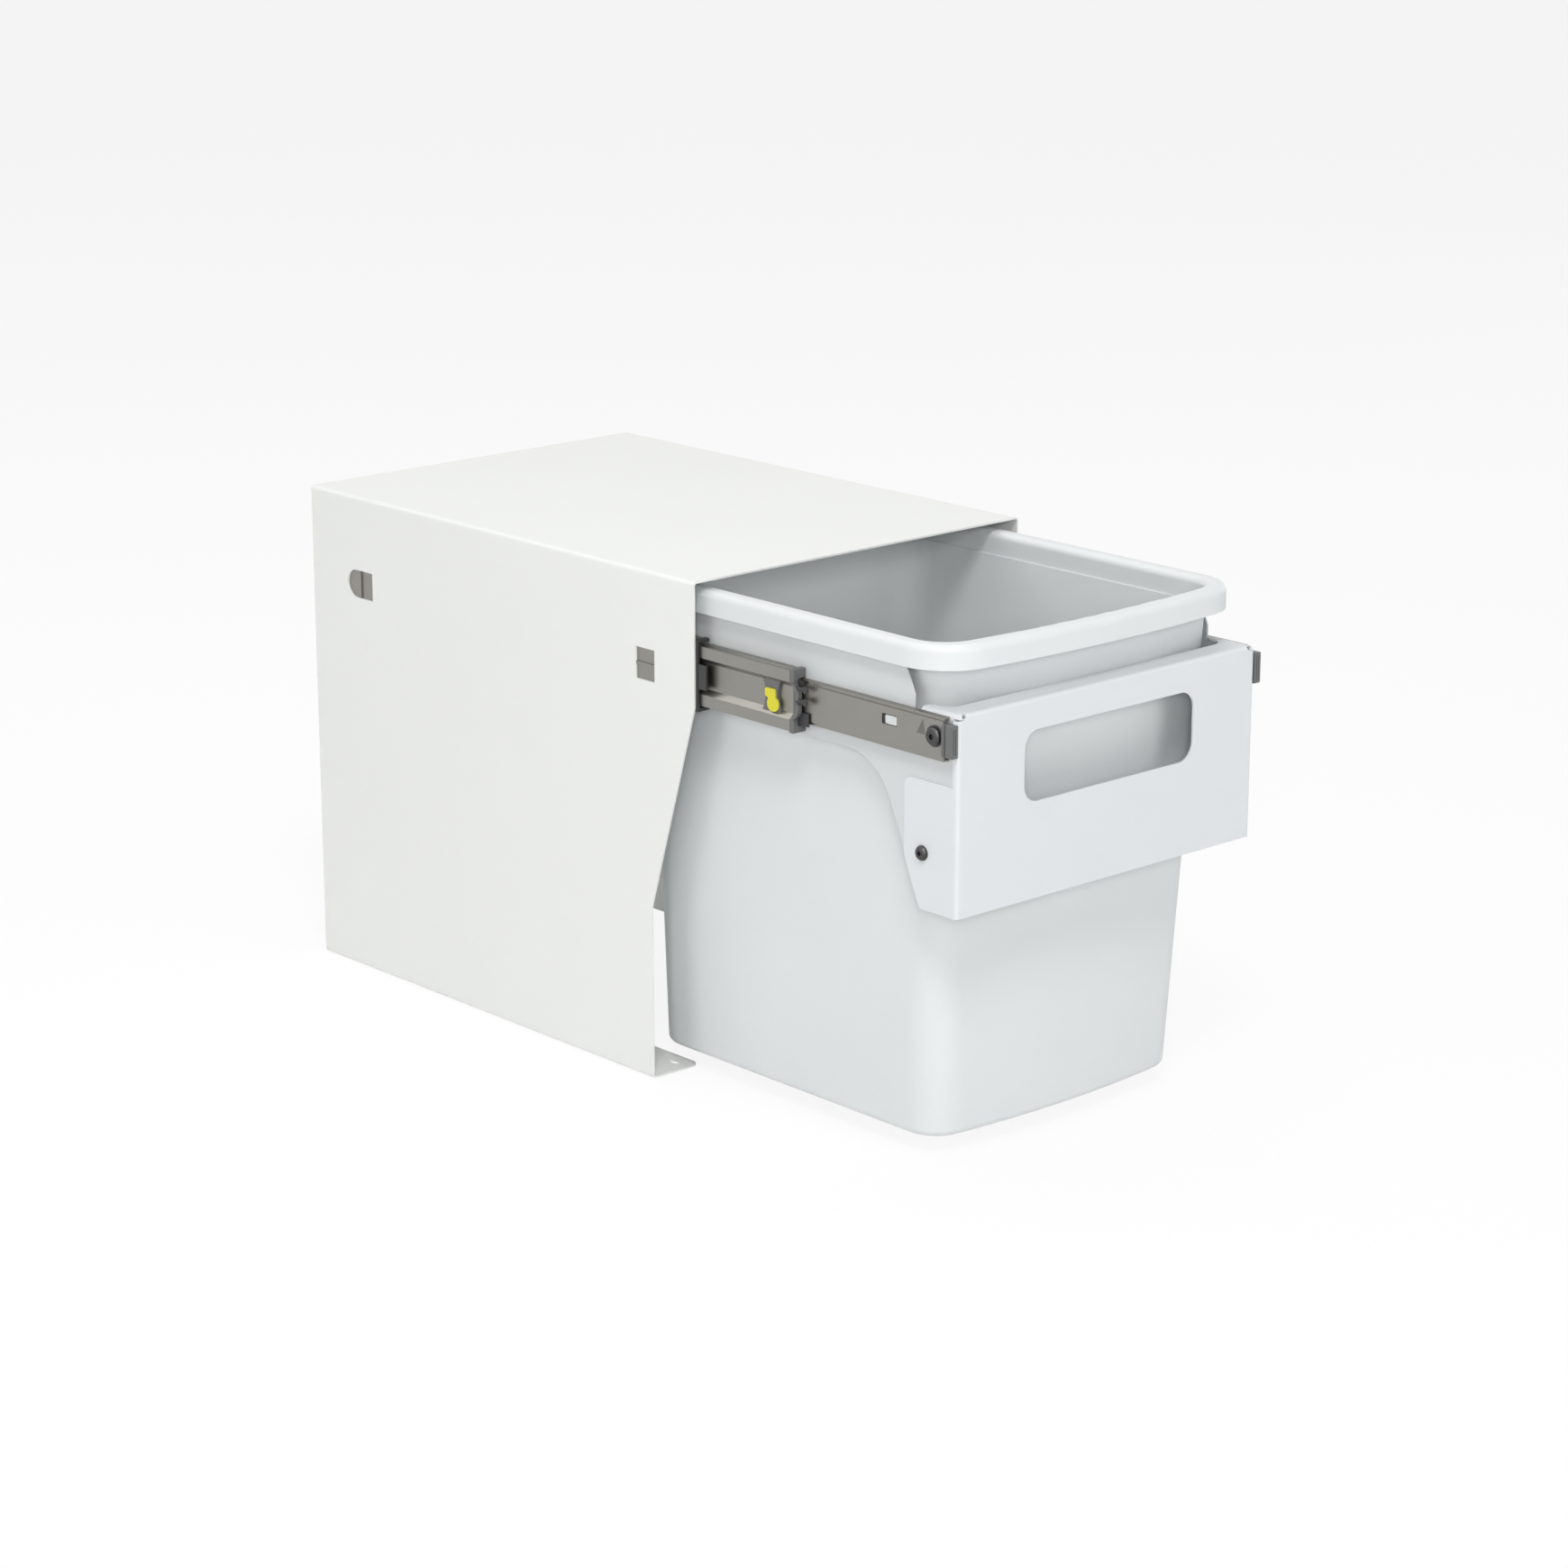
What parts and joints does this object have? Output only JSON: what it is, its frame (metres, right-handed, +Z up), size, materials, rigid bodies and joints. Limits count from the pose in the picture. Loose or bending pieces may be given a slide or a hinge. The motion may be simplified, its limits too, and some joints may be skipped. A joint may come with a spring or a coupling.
{
  "type": "pull-out waste bin cabinet",
  "caption": "Folded steel housing with a pull-out frame on telescopic ball slides; the frame carries a moulded waste bin behind a front plate with a handle cut-out.",
  "frame": {"origin": "on the floor, under the middle of the whole box at rest, with the drawer part way out", "axes": "+X across to the right, -Y the way the drawer opens, +Z up"},
  "size_m": [0.288, 0.6268, 0.34],
  "materials": {
    "housing_paint": "smooth satin powder coat",
    "frame_paint": "satin powder coat",
    "bin_plastic": "moulded, lightly satin",
    "slide_steel": "zinc plated, rolled",
    "cage_steel": "zinc plated, stamped",
    "ball_steel": "polished",
    "black_plastic": "moulded, satin",
    "grey_plastic": "moulded, satin",
    "lever_plastic": "moulded, half gloss",
    "screw_steel": "zinc plated"
  },
  "bodies": {
    "housing": {"housing_shell": "housing_paint", "outer_member_left": "slide_steel", "outer_member_right": "slide_steel", "outer_end_cap_left": "black_plastic", "outer_end_cap_right": "black_plastic", "rear_bumper_left": "black_plastic", "rear_bumper_right": "black_plastic"},
    "middle_left": {"middle_member_left": "slide_steel", "middle_end_cap_left": "grey_plastic", "latch_bracket_left": "grey_plastic", "lever_pin_left": "screw_steel"},
    "lever_left": {"release_lever_left": "lever_plastic"},
    "outer_cage_left": {"outer_ball_cage_left": "cage_steel", "outer_balls_left": "ball_steel"},
    "inner_cage_left": {"inner_ball_cage_left": "cage_steel", "inner_balls_left": "ball_steel"},
    "middle_right": {"middle_member_right": "slide_steel", "middle_end_cap_right": "grey_plastic", "latch_bracket_right": "grey_plastic", "lever_pin_right": "screw_steel"},
    "lever_right": {"release_lever_right": "lever_plastic"},
    "outer_cage_right": {"outer_ball_cage_right": "cage_steel", "outer_balls_right": "ball_steel"},
    "inner_cage_right": {"inner_ball_cage_right": "cage_steel", "inner_balls_right": "ball_steel"},
    "drawer": {"bin": "bin_plastic", "front_plate": "frame_paint", "inner_end_stop_left": "grey_plastic", "inner_end_stop_right": "grey_plastic", "inner_member_left": "slide_steel", "inner_member_right": "slide_steel", "plate_nut_left": "screw_steel", "plate_nut_right": "screw_steel", "plate_screw_left": "screw_steel", "plate_screw_right": "screw_steel", "rail_rivet_left": "screw_steel", "rail_rivet_right": "screw_steel", "rear_rail": "frame_paint", "side_arm_left": "frame_paint", "side_arm_right": "frame_paint", "slide_nut_left": "screw_steel", "slide_nut_right": "screw_steel", "slide_rivet_left": "screw_steel", "slide_rivet_right": "screw_steel", "slide_screw_left": "screw_steel", "slide_screw_right": "screw_steel", "spacer_bush_left": "screw_steel", "spacer_bush_right": "screw_steel"}
  },
  "joints": [
    {"name": "drawer_slide", "type": "slide", "parent": "housing", "child": "drawer", "axis": [0, -1, 0], "range_m": [-0.218, 0.182]},
    {"name": "outer_cage_left_slide", "type": "slide", "parent": "housing", "child": "outer_cage_left", "axis": [0, -1, 0], "range_m": [-0.0545, 0.0455]},
    {"name": "middle_left_slide", "type": "slide", "parent": "housing", "child": "middle_left", "axis": [0, -1, 0], "range_m": [-0.109, 0.091]},
    {"name": "inner_cage_left_slide", "type": "slide", "parent": "housing", "child": "inner_cage_left", "axis": [0, -1, 0], "range_m": [-0.1635, 0.1365]},
    {"name": "lever_left_hinge", "type": "hinge", "parent": "middle_left", "child": "lever_left", "pos_m": [-0.1398, -0.1576, 0.2812], "axis": [1, 0, 0], "range_deg": [-12, 12], "stiffness_Nm_per_rad": 0.02},
    {"name": "outer_cage_right_slide", "type": "slide", "parent": "housing", "child": "outer_cage_right", "axis": [0, -1, 0], "range_m": [-0.0545, 0.0455]},
    {"name": "middle_right_slide", "type": "slide", "parent": "housing", "child": "middle_right", "axis": [0, -1, 0], "range_m": [-0.109, 0.091]},
    {"name": "inner_cage_right_slide", "type": "slide", "parent": "housing", "child": "inner_cage_right", "axis": [0, -1, 0], "range_m": [-0.1635, 0.1365]},
    {"name": "lever_right_hinge", "type": "hinge", "parent": "middle_right", "child": "lever_right", "pos_m": [0.1398, -0.1576, 0.2812], "axis": [1, 0, 0], "range_deg": [-12, 12], "stiffness_Nm_per_rad": 0.02}
  ],
  "couplings": [
    {"joint": "outer_cage_left_slide", "follows": "drawer_slide", "ratio": 0.25},
    {"joint": "middle_left_slide", "follows": "drawer_slide", "ratio": 0.5},
    {"joint": "inner_cage_left_slide", "follows": "drawer_slide", "ratio": 0.75},
    {"joint": "outer_cage_right_slide", "follows": "drawer_slide", "ratio": 0.25},
    {"joint": "middle_right_slide", "follows": "drawer_slide", "ratio": 0.5},
    {"joint": "inner_cage_right_slide", "follows": "drawer_slide", "ratio": 0.75}
  ]
}
